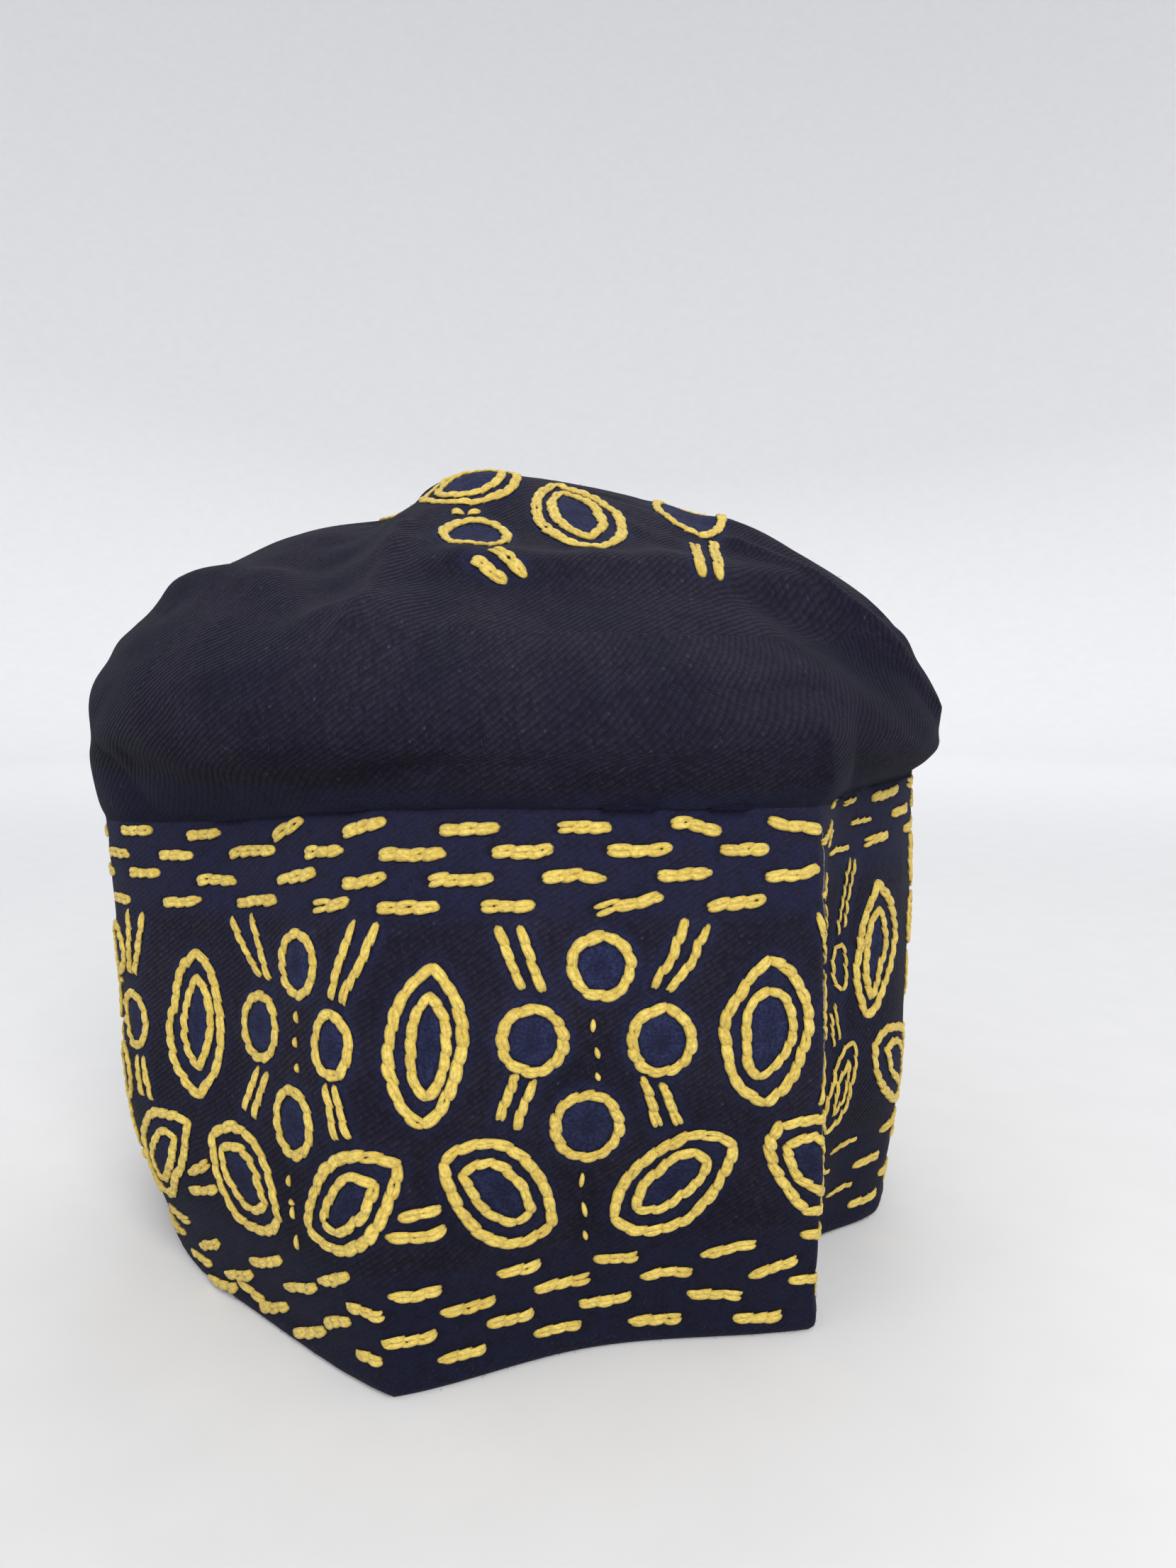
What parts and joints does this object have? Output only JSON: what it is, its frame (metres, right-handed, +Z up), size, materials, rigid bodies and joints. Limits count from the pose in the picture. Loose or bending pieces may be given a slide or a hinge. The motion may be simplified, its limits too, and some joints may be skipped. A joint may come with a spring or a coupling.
{
  "type": "embroidered soft cap",
  "caption": "Tall soft cap with a stitched upright band, a plain ballooning crown side and a round embroidered top, standing on its hem.",
  "frame": {"origin": "on the surface that the hem rests on, under the middle of the cap's box", "axes": "+Z up out of the crown; the side seen in the picture, with the front crease, faces -Y; +X to its right"},
  "size_m": [0.1931, 0.1929, 0.1709],
  "materials": {
    "band_cloth": "matte navy cotton twill, thick with navy fill stitching",
    "crown_cloth": "matte near-black navy cotton twill",
    "crown_top_cloth": "matte near-black navy cotton twill, embroidered at its middle",
    "yellow_yarn": "matte yellow embroidery yarn"
  },
  "bodies": {
    "root": {"band": "band_cloth", "crown_side": "crown_cloth", "crown_top": "crown_top_cloth"}
  },
  "joints": []
}
